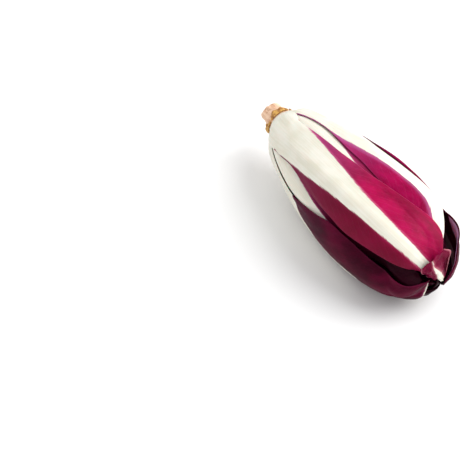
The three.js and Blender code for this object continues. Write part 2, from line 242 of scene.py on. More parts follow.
def leaf_width(leaf, s, side):
    """Degrees from the rib to a margin, narrowing to a rounded tip."""
    width = along(leaf["right" if side > 0 else "left"], s)
    ruffle = 1 + RUFFLE * waves(s / 17, side * 3.0, leaf["seed"]) * np.clip((s - 25) / 60, 0, 1)
    t = np.clip((s - leaf["end"] + leaf["tip"]) / leaf["tip"], 0, 1)
    return width * ruffle * np.maximum(np.sqrt(1 - t ** 2.4), 0.03)


def bump(distance, half_width):
    """1 at the rib's middle, falling smoothly to 0 at half_width."""
    return 0.5 + 0.5 * np.cos(np.pi * np.clip(np.abs(distance) / half_width, 0, 1))


def leaf_faces(leaf, below, s, angle, u):
    """The heights of a leaf's outer and inner face, and the distance from the rib's middle."""
    off = np.radians(wrapped(angle - along(leaf["rib"], s)))
    distance = off * outline(s)[1]
    half = np.maximum(along(leaf["rib_width"], s), LEAST_RIB)
    share = bump(distance, half * 1.12)
    rib = along(RIB_THICKNESS, s) * leaf["rib_scale"]
    edge = np.clip(1 - np.abs(u) ** 10, 0, 1) ** 0.5
    thickness = RIM_THICKNESS + (BLADE_THICKNESS - RIM_THICKNESS) * edge
    thickness = thickness + (rib - BLADE_THICKNESS) * share * edge
    droop = along(leaf["droop"], s) * np.abs(u) ** 3
    crest = along(leaf["crest"], s) * bump(distance, half * 1.6)
    curl = along(leaf["curl"], s) * np.clip((-u - 0.8) / 0.2, 0, 1) ** 2
    fade = np.clip((s - 20) / 50, 0, 1)
    swell = 0.55 * waves(s / 38, distance / 15, leaf["seed"] + 5) * fade
    pucker = 0.22 * waves((s - VEIN_SLANT * np.abs(distance)) / 7.5, distance / 9, leaf["seed"] + 9)
    pucker = pucker * fade * (1 - share)
    lead = leaf.get("bend_lead", 0) * np.clip(u, 0, 1)
    wanted = along(leaf["level"], s + lead) - droop + crest + curl + rib * RIB_RIDGE * share
    wanted = wanted + swell + pucker - thickness
    inner = smooth_max(wanted, sample(below, s, angle) + leaf["gap"] * 0.7)
    return inner + thickness, inner, distance


def curled_tip():
    """The crumpled end of a heart leaf, seen between the outer leaves' tips.

    Gives its points, its faces and its two attributes, as make_leaf uses them.
    """
    # rows run up the tip and columns across it, each point x, y, z about the head's axis
    net = np.array([
        [(170, 4, -11.5), (174, 6.5, -11.5), (178, 8, -9), (176, 11.5, -11), (175, 13, -11)],
        [(173, -2, -3.5), (178, 1, -3), (182, 3, -0.5), (178, 9.5, -1), (180, 8.5, 5.5)],
        [(176, -8, 4.5), (180, -4, 4.5), (184, -1.5, 7.5), (179, 7, 8), (183, 6.5, 17.5)],
        [(178, -11, 9.5), (181, -7, 10), (184, -5.5, 14.5), (180, 3.5, 14.5), (184, 5.5, 24.5)],
        [(177, -9.5, 10.5), (180, -8.5, 16.5), (182, -6.5, 19.5), (181, -1, 21.5), (183, 1.5, 26.5)],
    ])
    rows, columns = 60, 60
    rib_half_width, thickness = 3.4, 0.5
    up, across = np.linspace(0, 4, rows), np.linspace(0, 4, columns)
    strips = np.stack([np.stack([along(list(enumerate(net[i, :, k])), across) for k in range(3)], -1)
                       for i in range(5)])
    points = np.stack([np.stack([along(list(enumerate(strips[:, j, k])), up) for k in range(3)], -1)
                       for j in range(columns)], 1)
    normal = np.cross(np.gradient(points, axis=1), np.gradient(points, axis=0))
    normal /= np.linalg.norm(normal, axis=-1, keepdims=True)
    i, j = np.meshgrid(up, across, indexing="ij")
    normal *= np.sign(normal[..., :1].mean())
    creases = 0.7 * waves(i * 1.6, j * 2.3, 41) + 0.35 * waves(i * 4, j * 5, 42)
    points = points + normal * creases[..., None]
    rib = np.clip(rib_half_width - i, 0.0, rib_half_width)
    s, d = 165 + i * 6, (j - 2) * 5.5
    margin = (2 - np.abs(j - 2)) * 5
    place_of = np.stack([s, d, np.full_like(s, 97.0)], -1).reshape(-1, 3)
    edges = [np.stack([np.abs(d) - rib, margin, np.full_like(s, float(k))], -1).reshape(-1, 3)
             for k in (0, 1)]
    both = np.concatenate([points.reshape(-1, 3), (points - thickness * normal).reshape(-1, 3)])
    return both, shell_faces(rows, columns), np.concatenate([place_of, place_of]), np.concatenate(edges)


def leaf_attributes(leaf, s, u, width, distance):
    """What the leaf's material goes by at each point of both faces.

    leaf_place holds s, the signed distance from the rib's middle and the leaf's seed. leaf_edges holds
    the distance outside the rib, the distance from the margin and a mark. The mark is below 0 on the
    painted shadow streak of the outer face, 1 on the inner face and up to 2 on its painted highlight near the
    lip.
    """
    margin = (1 - np.abs(u)) * np.radians(width) * outline(s)[1]
    left = along(leaf["rib_width"], s)
    right = along(leaf.get("rib_right", leaf["rib_width"]), s)
    beyond_rib = np.abs(distance) - np.where(distance > 0, right, left)
    # a painted shadow streak on the outer face beside the rib's right side, fading out beyond it
    streak = np.where(distance > 0, along(leaf.get("streak", [[0, 0]]), s), 0)
    streak = streak * np.clip((SHADOW_STREAK_END - beyond_rib) / SHADOW_STREAK_FADE, 0, 1)
    if "pale_margin" in leaf:
        pale = np.minimum(beyond_rib, margin - along(leaf["pale_margin"], s))
        beyond_rib = np.where(u < 0, pale, beyond_rib)
    place_of = np.stack([s, distance, np.full_like(s, leaf["seed"] * 31.0)], -1).reshape(-1, 3)
    from_edge = np.minimum(margin, leaf["end"] - s)
    # a painted highlight on the inner face near the end and left margins
    lip_highlight = np.clip((along(leaf["lip_highlight"], s) - from_edge) / 1.5, 0, 1) * np.clip((from_edge - 0.7) / 0.5, 0, 1)
    lip_highlight *= np.clip((-u - 0.3) / 0.25, 0, 1)
    edges = [np.stack([beyond_rib, margin, mark], -1).reshape(-1, 3) for mark in (-streak, 1 + lip_highlight)]
    return np.concatenate([place_of, place_of]), np.concatenate(edges)


def make_leaf(leaf, envelope):
    """Lays a leaf on the envelope of what is under it, and raises the envelope to its outer face."""
    below = cover(envelope)
    t = np.linspace(0, 1, leaf["rows"])
    stations = leaf["start"] + (leaf["end"] - leaf["start"]) * (t + 0.12 * np.sin(np.pi * t))
    c = np.linspace(-1, 1, leaf["columns"])
    shares = 0.5 * c + 0.5 * np.sin(np.pi / 2 * c)
    s, u = np.meshgrid(stations, shares, indexing="ij")
    width = np.where(u > 0, leaf_width(leaf, s, 1), leaf_width(leaf, s, -1))
    angle = along(leaf["rib"], s) + u * width
    outer, inner, distance = leaf_faces(leaf, below, s, angle, u)

    # the envelope rises to this leaf's outer face
    off = wrapped(cell_angle - along(leaf["rib"], cell_s))
    cell_width = np.where(off > 0, leaf_width(leaf, cell_s, 1), leaf_width(leaf, cell_s, -1))
    cell_u = off / cell_width
    on_leaf = (np.abs(off) < cell_width + 1) & (cell_s > leaf["start"] - 1) & (cell_s < leaf["end"] + 1)
    heights = leaf_faces(leaf, below, cell_s, cell_angle, np.clip(cell_u, -1, 1))[0]
    envelope[on_leaf] = np.maximum(envelope[on_leaf], heights[on_leaf])

    points = [place(s, angle, outer).reshape(-1, 3), place(s, angle, inner).reshape(-1, 3)]
    for side, lift in enumerate((leaf["lift"], leaf["lift"] + SKIN)):
        points[side][:, 2] = np.maximum(points[side][:, 2], FLOOR + lift)
    where, edges = leaf_attributes(leaf, s, u, width, distance)
    points, faces = np.concatenate(points), shell_faces(*s.shape)
    if leaf.get("curled"):
        more_points, more_faces, more_where, more_edges = curled_tip()
        faces = np.concatenate([faces, more_faces + len(points)])
        points, where = np.concatenate([points, more_points]), np.concatenate([where, more_where])
        edges = np.concatenate([edges, more_edges])
    return make_object(leaf["piece"], points, faces, leaf["material"], leaf["node"],
                       {"leaf_place": where, "leaf_edges": edges})


# ---------------------------------------------------------------- materials
class Graph:
    """Short calls for building a material's nodes."""

    def __init__(self, name):
        self.material = bpy.data.materials.new(name)
        self.material.use_nodes = True
        self.tree = self.material.node_tree
        self.shader = self.tree.nodes["Principled BSDF"]

    def node(self, kind, inputs=None, **settings):
        made = self.tree.nodes.new("ShaderNode" + kind)
        for key, value in settings.items():
            setattr(made, key, value)
        for key, value in (inputs or {}).items():
            self.feed(made.inputs[key], value)
        return made

    def feed(self, socket, value):
        if isinstance(value, bpy.types.NodeSocket):
            self.tree.links.new(value, socket)
        else:
            socket.default_value = value

    def math(self, operation, a, b=0.0, clamp=False):
        return self.node("Math", {0: a, 1: b}, operation=operation, use_clamp=clamp).outputs[0]

    def ramp(self, value, low, high):
        """0 at low, 1 at high, smooth between; low may be the larger."""
        made = self.node("MapRange", {"Value": value, "From Min": low, "From Max": high},
                         interpolation_type="SMOOTHSTEP")
        return made.outputs[0]

    def mix(self, share, a, b):
        made = self.node("Mix", data_type="RGBA")
        self.feed(made.inputs["Factor"], share)
        self.feed(made.inputs[6], a)
        self.feed(made.inputs[7], b)
        return made.outputs[2]

    def noise(self, vector, scale, detail=2.0, roughness=0.5):
        inputs = {"Vector": vector, "Scale": scale, "Detail": detail, "Roughness": roughness}
        return self.node("TexNoise", inputs).outputs[0]

    def vector(self, x, y, z=0.0):
        return self.node("CombineXYZ", {0: x, 1: y, 2: z}).outputs[0]


def colour(red, green, blue):
    """A linear RGBA colour from its 0 to 255 display values."""
    def linear(v):
        v /= 255
        return v / 12.92 if v <= 0.04045 else ((v + 0.055) / 1.055) ** 2.4
    return (linear(red), linear(green), linear(blue), 1.0)


def leaf_material(name, deep, bright, pale, purple, gloss=0.14, tip_shade=0.0, tip_shade_from=132.0,
                  left_shade_tone=0.0, edge_tone=0.05, fringe_width=1.8, fringe_tone=0.3):
    """Cream rib, feathered into a waxy crimson blade with fine side veins.

    deep and bright are the blade's clouded colours, purple its tone near the base, which is partly the leaf's
    own colour and partly painted sheen of the light on the upturned bases, and pale its veins, margin and the
    fringe beside the rib. The tones are shares of those colours. The other mixes paint light and shade: the
    tips go near-black as painted shade from a given s on, the blade left of the rib takes painted shade, a
    painted shadow streak runs beside the rib where the mark says, and a pale band on the inner face near the
    end takes a painted highlight.
    """
    g = Graph(name)
    place_of = g.node("Attribute", attribute_name="leaf_place").outputs["Vector"]
    edges_of = g.node("Attribute", attribute_name="leaf_edges").outputs["Vector"]
    parts = g.node("SeparateXYZ", {0: place_of}).outputs
    s, d, seed = parts[0], parts[1], parts[2]
    edge_parts = g.node("SeparateXYZ", {0: edges_of}).outputs
    beyond, margin = edge_parts[0], edge_parts[1]
    inside = g.math("MULTIPLY", edge_parts[2], 1.0, clamp=True)
    # the painted highlight's share on the inner face
    lip_highlight = g.math("SUBTRACT", edge_parts[2], 1.0, clamp=True)
    # the painted shadow streak's share on the outer face
    shadow_streak_share = g.math("MULTIPLY", edge_parts[2], -1.0, clamp=True)
    out = g.math("ABSOLUTE", d)

    # side veins leave the rib at an acute angle towards the tip
    vein = g.math("SUBTRACT", s, g.math("MULTIPLY", out, VEIN_SLANT))
    wobble = g.noise(g.vector(g.math("MULTIPLY", s, 0.05), g.math("MULTIPLY", d, 0.09), seed), 1.0)
    vein = g.math("ADD", vein, g.math("MULTIPLY", wobble, 9.0))
    lengthwise = g.vector(g.math("MULTIPLY", vein, 0.42), g.math("MULTIPLY", out, 0.05), seed)
    streak = g.noise(lengthwise, 1.0, 3.0, 0.6)
    drift = g.noise(g.vector(g.math("MULTIPLY", s, 0.045), d, seed), 1.0, 1.0)
    feather = g.math("ADD", g.math("MULTIPLY", g.math("SUBTRACT", streak, 0.5), 1.0),
                     g.math("MULTIPLY", g.math("SUBTRACT", drift, 0.5), 1.6))
    edge = g.math("ADD", beyond, feather)
    stained = g.math("MULTIPLY", inside, g.math("MULTIPLY", g.ramp(s, 85.0, 125.0), 0.85))
    on_rib = g.math("MULTIPLY", g.ramp(edge, 0.45, -0.35), g.math("SUBTRACT", 1.0, stained))
    fringe = g.ramp(edge, fringe_width, 0.0)

    # blade colour
    cloud = g.noise(g.vector(g.math("MULTIPLY", s, 0.03), g.math("MULTIPLY", d, 0.06), seed), 1.0, 4.0, 0.6)
    blade = g.mix(g.ramp(cloud, 0.3, 0.72), deep, bright)
    # a purple tone towards the base, partly the leaf's colour and partly painted sheen of the light on the
    # upturned bases
    blade = g.mix(g.math("MULTIPLY", g.ramp(s, 135.0, 55.0), 0.75), blade, purple)
    line = g.math("PINGPONG", vein, 4.2)
    vein_line = g.ramp(line, 0.55, 0.05)
    vein_fade = g.ramp(edge, 26.0, 1.0)
    veins = g.math("MULTIPLY", g.math("MULTIPLY", vein_line, vein_fade), 0.04)
    blade = g.mix(veins, blade, pale)
    cells = g.vector(g.math("MULTIPLY", vein, 0.3), g.math("MULTIPLY", out, 0.42), seed)
    cracks = g.node("TexVoronoi", {"Vector": cells, "Scale": 1.0}, feature="DISTANCE_TO_EDGE")
    net = cracks.outputs["Distance"]
    net_line = g.ramp(net, 0.09, 0.0)
    blade = g.mix(g.math("MULTIPLY", net_line, 0.02), blade, pale)
    blade = g.mix(g.math("MULTIPLY", fringe, fringe_tone), blade, pale)
    blade = g.mix(g.math("MULTIPLY", g.ramp(margin, 0.9, 0.15), edge_tone), blade, pale)
    # painted shade: the blade goes near-black towards the tips, which lie deep in the head's gaps
    blade = g.mix(g.math("MULTIPLY", g.ramp(s, tip_shade_from, tip_shade_from + 25), tip_shade), blade, SHADE_BLACK)
    # painted shadow: the dark streak on the outer face beside the rib
    blade = g.mix(shadow_streak_share, blade, SHADOW_STREAK)
    # painted shade: the blade left of the rib darkens, the side turned from the light
    blade = g.mix(g.math("MULTIPLY", g.ramp(d, -1.0, -9.0), left_shade_tone), blade, LEFT_SHADE)
    # painted highlight: a pale lavender band on the inner face near the margin, clouded by the vein noise
    blade = g.mix(lip_highlight, blade, g.mix(g.ramp(streak, 0.3, 0.7), LIP_HIGHLIGHT, LIP_HIGHLIGHT_DIM))

    # rib colour
    grain = g.noise(g.vector(g.math("MULTIPLY", s, 0.02), g.math("MULTIPLY", d, 0.9), seed), 1.0, 3.0, 0.6)
    patch = g.noise(g.vector(g.math("MULTIPLY", s, 0.05), g.math("MULTIPLY", d, 0.12), seed), 1.0, 2.0)
    mottle = g.math("ADD", g.math("MULTIPLY", grain, 0.5), g.math("MULTIPLY", patch, 0.5))
    rib = g.mix(g.ramp(mottle, 0.35, 0.65), CREAM_SHADE, CREAM)
    g.feed(g.shader.inputs["Base Color"], g.mix(on_rib, blade, rib))

    rough = g.math("ADD", 0.36, g.math("MULTIPLY", cloud, 0.2))
    g.feed(g.shader.inputs["Roughness"], g.math("ADD", rough, g.math("MULTIPLY", on_rib, 0.1)))
    ridges = g.noise(g.vector(g.math("MULTIPLY", s, 0.012), g.math("MULTIPLY", d, 0.55), seed), 1.0, 2.0)
    relief = g.math("ADD", g.math("MULTIPLY", g.math("MULTIPLY", vein_line, vein_fade), 0.22),
                    g.math("MULTIPLY", net_line, 0.08))
    relief = g.math("ADD", g.math("MULTIPLY", relief, g.math("SUBTRACT", 1.0, on_rib)),
                    g.math("MULTIPLY", ridges, g.math("MULTIPLY", on_rib, 0.5)))
    bump = g.node("Bump", {"Height": relief, "Strength": 0.6, "Distance": 0.0004})
    g.feed(g.shader.inputs["Normal"], bump.outputs[0])
    g.shader.inputs["IOR"].default_value = 1.38
    g.shader.inputs["Specular IOR Level"].default_value = gloss
    g.shader.inputs["Subsurface Weight"].default_value = 0.12
    g.shader.inputs["Subsurface Radius"].default_value = (1.0, 0.35, 0.3)
    g.shader.inputs["Subsurface Scale"].default_value = 0.003
    g.shader.inputs["Coat Weight"].default_value = gloss / 6
    g.shader.inputs["Coat Roughness"].default_value = 0.3
    return g.material


PALE = colour(226, 120, 168)
# pale for the leaves whose colours carry painted shade
PALE_SHADE_PAINTED = colour(170, 70, 118)
# purple near the base: partly the leaf's colour, partly painted sheen
PURPLE_AND_SHEEN = colour(150, 56, 112)
CREAM = colour(229, 226, 215)
CREAM_SHADE = colour(216, 212, 195)
# painted shade: near-black for leaf tips deep in the head
SHADE_BLACK = colour(16, 1, 7)
# painted shadow for the streak beside the back leaf's rib
SHADOW_STREAK = colour(46, 3, 18)
# painted shade for the blade left of the front leaf's rib
LEFT_SHADE = colour(92, 4, 32)
# painted highlight on the hood's inner lip, and its dimmer tone
LIP_HIGHLIGHT = colour(250, 200, 240)
LIP_HIGHLIGHT_DIM = colour(226, 144, 206)

outer_material = leaf_material("outer_leaf", colour(118, 4, 46), colour(160, 8, 70), PALE, PURPLE_AND_SHEEN)
# the back leaf: no gloss, and a wide lavender fringe beside its rib, partly the rib's pale edge and partly
# painted sheen
back_material = leaf_material(
    "back_leaf", colour(120, 8, 50), colour(158, 14, 72), colour(192, 122, 176), PURPLE_AND_SHEEN,
    gloss=0.0, fringe_width=4.5, fringe_tone=0.34)
# the front leaf: its bright tone raised a little as painted light, and painted shade on its blade left of the
# rib
front_material = leaf_material(
    "front_leaf", colour(122, 4, 46), colour(172, 6, 74), PALE, PURPLE_AND_SHEEN, gloss=0.11, left_shade_tone=0.75)
# a darker copy for the leaves that lie in shade: its deep colours are painted shade
shade_painted_material = leaf_material(
    "shade_painted_leaf", colour(48, 2, 20), colour(86, 4, 38), PALE_SHADE_PAINTED, colour(70, 8, 42), gloss=0.05)
# the under leaf: the same painted shade, and its tips painted near-black as shade
under_material = leaf_material(
    "under_leaf", colour(48, 2, 20), colour(86, 4, 38), PALE_SHADE_PAINTED, colour(70, 8, 42),
    gloss=0.05, tip_shade=0.9, tip_shade_from=165.0)
# wrapper leaves: their tips are painted near-black as shade from s 132 on
wrapper_material = leaf_material(
    "wrapper_leaf", colour(62, 2, 26), colour(104, 5, 44), PALE, colour(118, 22, 74),
    gloss=0.05, tip_shade=0.9)
# heart leaves: their tips are painted near-black as shade from s 132 on
inner_material = leaf_material(
    "inner_leaf", colour(64, 3, 28), colour(120, 12, 58), colour(200, 110, 150), colour(90, 12, 56),
    gloss=0.05, tip_shade=0.85)
curled_material = leaf_material(
    "curled_leaf", colour(66, 3, 28), colour(122, 10, 54), colour(220, 150, 160), colour(110, 20, 66),
    gloss=0.05, edge_tone=0.45)


def root_material():
    g = Graph("root")
    where = g.node("TexCoord").outputs["Object"]
    stretched = g.node("Mapping", {"Vector": where, "Scale": (40.0, 160.0, 160.0)}).outputs[0]
    fibre = g.noise(stretched, 1.0, 5.0, 0.65)
    blot = g.noise(where, 260.0, 3.0, 0.6)
    tan = g.mix(g.ramp(fibre, 0.35, 0.65), colour(204, 154, 120), colour(242, 208, 178))
    tan = g.mix(g.math("MULTIPLY", g.ramp(blot, 0.56, 0.7), 0.6), tan, colour(150, 96, 58))
    g.feed(g.shader.inputs["Base Color"], tan)
    g.shader.inputs["Roughness"].default_value = 0.75
    bump = g.node("Bump", {"Height": g.math("ADD", fibre, blot), "Strength": 0.8, "Distance": 0.0008})
    g.feed(g.shader.inputs["Normal"], bump.outputs[0])
    return g.material


def scar_material():
    g = Graph("trimmed_base")
    where = g.node("TexCoord").outputs["Object"]
    blot = g.noise(where, 420.0, 4.0, 0.6)
    ochre = g.mix(g.ramp(blot, 0.4, 0.62), colour(150, 98, 42), colour(214, 166, 84))
    g.feed(g.shader.inputs["Base Color"], ochre)
    g.shader.inputs["Roughness"].default_value = 0.7
    bump = g.node("Bump", {"Height": blot, "Strength": 0.7, "Distance": 0.0006})
    g.feed(g.shader.inputs["Normal"], bump.outputs[0])
    return g.material


# ---------------------------------------------------------------- the leaves' sizes
# A leaf runs from s = start to s = end, and its tip is rounded over its last stretch, tip. Its tables
# go by s. left and right are degrees from the rib to the margins and rib is the angle of the rib.
# rib_width, and rib_right where the right side differs, are half widths in millimetres, below 0 where
# the rib has ended. level is the height that the leaf keeps to where nothing below lifts it, droop
# lowers its margins, crest raises its rib, and curl turns its left margin out. The streak table paints a
# shadow on the outer face beside the rib's right side, and the lip highlight table paints a highlight
# on the inner face near the end.
DARK_RIB = [
    [0, 17], [18, 13.4], [40, 13.6], [60, 12.4], [80, 11], [100, 9.1], [125, 7], [150, 4.6], [172, 2],
    [184, -4],
]
OUTER = {
    "start": 0, "end": 194, "tip": 16, "rows": 150, "columns": 90, "gap": 0.5, "lift": 0, "rib_scale": 1,
    "slot": "outer_leaf", "material": outer_material, "rib_width": RIB_HALF_WIDTH,
    "level": [[0, 0], [176, 0], [186, -1.5], [194, -5], [200, -9]],
    "droop": [[0, 0], [100, 0.6], [150, 1.6], [190, 1.6]],
    "crest": [[0, 0]], "curl": [[0, 0]], "lip_highlight": [[0, 0]],
}

outer_leaves = [
    {
        **OUTER, "node": "outer_leaf_under", "seed": 1, "end": 190, "tip": 12, "material": under_material,
        "level": [[0, 0], [170, 0], [182, 0.6], [191, 1.8]],
        "rib_width": DARK_RIB,
        "rib": [[0, 199], [100, 201], [170, 203], [191, 209]],
        "left": [[0, 35], [20, 35], [45, 29], [75, 28], [110, 33], [150, 38], [180, 36], [194, 24]],
        "right": [[0, 35], [20, 35], [45, 29], [75, 28], [110, 33], [150, 37], [180, 33], [194, 24]],
    },
    {
        **OUTER, "node": "outer_leaf_back", "seed": 2, "end": 191, "tip": 5, "material": back_material,
        "droop": [[0, 0], [25, 1.8], [60, 2.2], [90, 1], [100, 0.6], [150, 1.6], [190, 1.6]],
        "rib": [
            [0, 57], [20, 54], [45, 47], [65, 45], [85, 47], [100, 50], [128, 60], [150, 67], [165, 60],
            [180, 52],
        ],
        "rib_width": [
            [0, 12], [20, 9], [40, 7.8], [60, 8.2], [80, 8.5], [100, 8.3], [128, 8.6], [150, 8.4], [165, 7],
            [180, 4], [191, 2],
        ],
        "rib_right": [
            [60, 12], [71, 11], [78, 6.8], [85, 4.4], [92, 2.8], [99, 1.9], [110, 1.2], [124, 1.1],
            [132, 2.6], [141, 5.6], [150, 7.4], [165, 7], [180, 4], [191, 2],
        ],
        # a painted shadow beside the rib's right side, where the gap next to it lies in shade
        "streak": [[66, 0], [80, 0.85], [124, 0.95], [144, 0]],
        "left": [
            [0, 30], [20, 26], [35, 19], [55, 15], [70, 17], [85, 22], [100, 26.5], [128, 38], [152, 42],
            [170, 28], [180, 10], [191, 6],
        ],
        "right": [
            [0, 30], [20, 32], [45, 27], [75, 26], [100, 29], [128, 31], [148, 26], [160, 13], [172, 8],
            [180, 4.5], [191, 3.5],
        ],
    },
    {
        **OUTER, "node": "outer_leaf_front_low", "seed": 3, "end": 201, "tip": 7, "material": shade_painted_material,
        "level": [[0, 0], [166, 0], [178, -0.6], [190, -0.4], [201, -1.5]],
        "droop": [
            [0, 0], [25, 2.6], [60, 3], [85, 1.8], [100, 0.8], [130, 2.5], [150, 5.5], [170, 6], [182, 4.5],
            [190, 2], [201, 0.5],
        ],
        "rib": [[0, -95], [40, -97], [70, -101], [100, -104], [200, -106]],
        "rib_width": [
            [0, 17], [18, 13.4], [40, 13.6], [60, 12.4], [80, 10.6], [100, 8], [125, 4.5], [140, 1.5],
            [152, -4],
        ],
        # on the right the leaf is all rib near its base
        "rib_right": [
            [0, 30], [66, 30], [74, 21], [82, 13.5], [90, 10], [100, 8], [125, 4.5], [140, 1.5], [152, -4],
        ],
        "left": [
            [0, 32], [20, 32], [45, 27], [75, 26], [110, 30], [150, 35], [176, 36], [184, 33], [190, 31.5],
            [201, 33],
        ],
        "right": [
            [0, 33], [20, 34], [40, 31], [60, 33.5], [72, 37], [80, 41.5], [100, 52], [118, 58],
            [135, 58.5], [148, 55], [162, 50], [175, 45], [186, 41], [195, 41], [201, 38],
        ],
        "pale_margin": [[176, -4], [184, 0.35], [201, 0.35]],
    },
    {
        **OUTER, "node": "outer_leaf_hood", "seed": 4, "end": 191, "tip": 12, "material": shade_painted_material,
        "level": [[0, 0], [140, 0], [155, 0.6], [168, 1.4], [176, 1.9], [184, 2.1], [191, 1.9]],
        "droop": [[0, 0], [100, 0.6], [150, 0]],
        "curl": [[150, 0], [160, 1.4], [172, 2.4], [182, 2.2], [191, 0.4]],
        # a painted highlight along the inner face near the end
        "lip_highlight": [[152, 0], [160, 8], [166, 12], [172, 17], [191, 17]],
        "rib_width": DARK_RIB,
        "rib": [[0, 125], [100, 128], [160, 136], [180, 146], [191, 158]],
        "left": [
            [0, 36], [20, 35], [45, 29], [75, 27], [110, 28], [140, 31], [162, 43], [176, 60], [184, 70],
            [191, 76],
        ],
        "right": [
            [0, 36], [20, 35], [45, 29], [75, 28], [110, 33], [150, 38], [175, 32], [184, 25], [191, 20],
        ],
    },
    {
        **OUTER, "node": "outer_leaf_front", "seed": 5, "end": 201, "tip": 6, "material": front_material,
        "gap": 0.6, "bend_lead": 9,
        "level": [[0, 0], [176, 0], [184, -0.6], [188, -2.4], [191, -7], [196, -16], [201, -24]],
        # the points at 31 and 30 overlap: the rib steps in there, where the blade begins beside it
        "rib_width": [
            [0, 17.5], [20, 17.4], [31, 15.4], [30, 13.3], [40, 13.6], [60, 12.4], [80, 11], [100, 9.1],
            [120, 7.4], [140, 6.1], [155, 5.3], [170, 4.5], [182, 3.7], [201, 3],
        ],
        "rib": [
            [0, -17], [20, -16.5], [40, -14], [60, -11.5], [100, -9], [140, -7.6], [160, -6.4], [190, -4],
            [201, -4],
        ],
        "left": [
            [0, 42], [20, 42], [32, 33], [45, 28], [60, 24.5], [80, 26.5], [105, 29.5], [130, 33],
            [152, 31.5], [175, 30], [188, 27], [201, 27],
        ],
        "right": [
            [0, 41], [20, 42], [32, 31], [45, 27], [75, 25.5], [100, 26], [128, 31], [152, 40], [175, 56],
            [186, 54], [201, 50],
        ],
    },
]

WRAPPER_WIDTH = [[13, 40], [45, 36], [75, 38], [110, 43], [150, 44], [180, 42], [196, 28]]
WRAPPER = {
    **OUTER, "start": 13, "end": 196, "rows": 130, "columns": 80, "lift": 1.4, "rib_scale": 0.95,
    "slot": "wrapper_leaf", "material": wrapper_material, "left": WRAPPER_WIDTH, "right": WRAPPER_WIDTH,
    "rib_width": [[13, 12], [45, 10.5], [65, 8.8], [85, 7.6], [100, 6.4], [114, 4.6], [126, 2], [138, -4]],
    "level": [
        [13, -4.2], [45, -4.4], [80, -3.6], [110, -3.6], [135, -5], [160, -7], [182, -8.5], [196, -12],
    ],
    "droop": [[0, 0], [90, 0.5], [190, 1.5]],
    "crest": [[13, 2.4], [60, 2.6], [90, 1.6], [115, 0.4], [140, 0]],
}
wrapper_leaves = [
    {**WRAPPER, "node": "wrapper_leaf_under", "seed": 6, "rib": [[0, 236], [190, 236]]},
    {**WRAPPER, "node": "wrapper_leaf_back", "seed": 7, "rib": [[0, 92], [100, 96], [190, 102]]},
    {
        **WRAPPER, "node": "wrapper_leaf_front", "seed": 8, "material": outer_material,
        "level": [
            [13, -4.2], [45, -3.4], [80, -2], [110, -1.8], [135, -3.4], [160, -7], [182, -8.5], [196, -12],
        ],
        "crest": [[13, 2.4], [60, 1.6], [90, 0.6], [115, 0]],
        "rib": [[0, 25], [40, 21], [65, 15], [85, 11.5], [100, 9], [140, 6], [190, 10]],
    },
    {
        **WRAPPER, "node": "wrapper_leaf_front_low", "seed": 9,
        "level": [
            [13, -4.2], [45, -4.4], [80, -3.6], [105, -3.8], [125, -6.5], [160, -11], [182, -13], [196, -17],
        ],
        "rib_width": [
            [13, 15.5], [30, 16], [45, 15.6], [60, 13.6], [72, 10.6], [85, 7.6], [100, 6.4], [114, 4.6],
            [126, 2], [138, -4],
        ],
        "rib_right": WRAPPER["rib_width"],
        "rib": [[0, -56], [57, -53], [80, -54.5], [100, -57], [140, -60], [190, -56]],
    },
    {
        **WRAPPER, "node": "wrapper_leaf_crown", "seed": 10, "gap": 0.7,
        "level": [
            [13, -4.2], [45, -4.4], [80, -3.6], [110, -3.6], [135, -5.5], [160, -9.5], [182, -14],
            [196, -19],
        ],
        "rib": [[0, 163], [100, 165], [198, 168]],
    },
]


def ring(name, count, first_angle, more):
    """Like leaves deeper in the head, spaced evenly round it."""
    made = []
    for k in range(count):
        angle = first_angle + k * 360 / count
        full, start, end = more["full_width"], more["start"], more["end"]
        width = [[start, full * 0.86], [(start + end) / 2, full], [start + 0.85 * (end - start), full * 0.9],
                 [end, full * 0.5]]
        made.append({**WRAPPER, **more, "node": f"{name}_{k + 1}", "seed": 11 + k + int(first_angle),
                     "rows": 90, "columns": 50, "left": width, "right": width,
                     "rib": [[start, angle], [end, angle + 6]], "droop": [[0, 0]]})
    return made


HEART = {
    "slot": "heart_leaf", "material": inner_material, "gap": 0.9, "crest": [[0, 0]],
    "rib_width": [[30, 9], [100, 5], [145, 1], [160, -4]],
}
inner_leaves = [
    *ring("heart_leaf", 3, 40, {
        **HEART, "start": 56, "end": 197, "full_width": 66, "rib_scale": 0.6,
        "level": [[50, -24.5], [90, -27], [130, -28], [180, -25], [197, -18]]}),
    *ring("deep_leaf", 4, 10, {
        **HEART, "start": 42, "end": 197, "full_width": 52, "rib_scale": 0.75,
        "level": [[42, -19], [90, -20.5], [130, -21.5], [165, -20.5], [197, -17]]}),
    *ring("inner_leaf", 5, -20, {
        **HEART, "slot": "inner_leaf", "start": 27, "end": 197, "full_width": 42, "rib_scale": 0.85,
        "level": [[27, -11.5], [60, -11.5], [110, -12], [150, -13.5], [184, -13.5], [197, -14.5]]}),
]

# ---------------------------------------------------------------- the root stub and the scars round it
STUB_LENGTH = 19.0
STUB_END = -0.6  # where the stub gives way to the core, a little short of the leaf bases
CORE_START = 0.4
STUB_PROFILE = [[-STUB_LENGTH, 6.2], [-STUB_LENGTH + 1.2, 7.2], [-9, 8.9], [-3, 10.2], [STUB_END, 10.4]]
CORE_PROFILE = [[CORE_START, 6.6], [12, 6.4], [30, 5], [48, 3.2], [CORE_DEPTH - 2, 1.4]]
CUT_SLANT = 0.35  # how much the stub's cut end leans
SCAR_BACK = -5.2  # how far back along the stub the scars reach


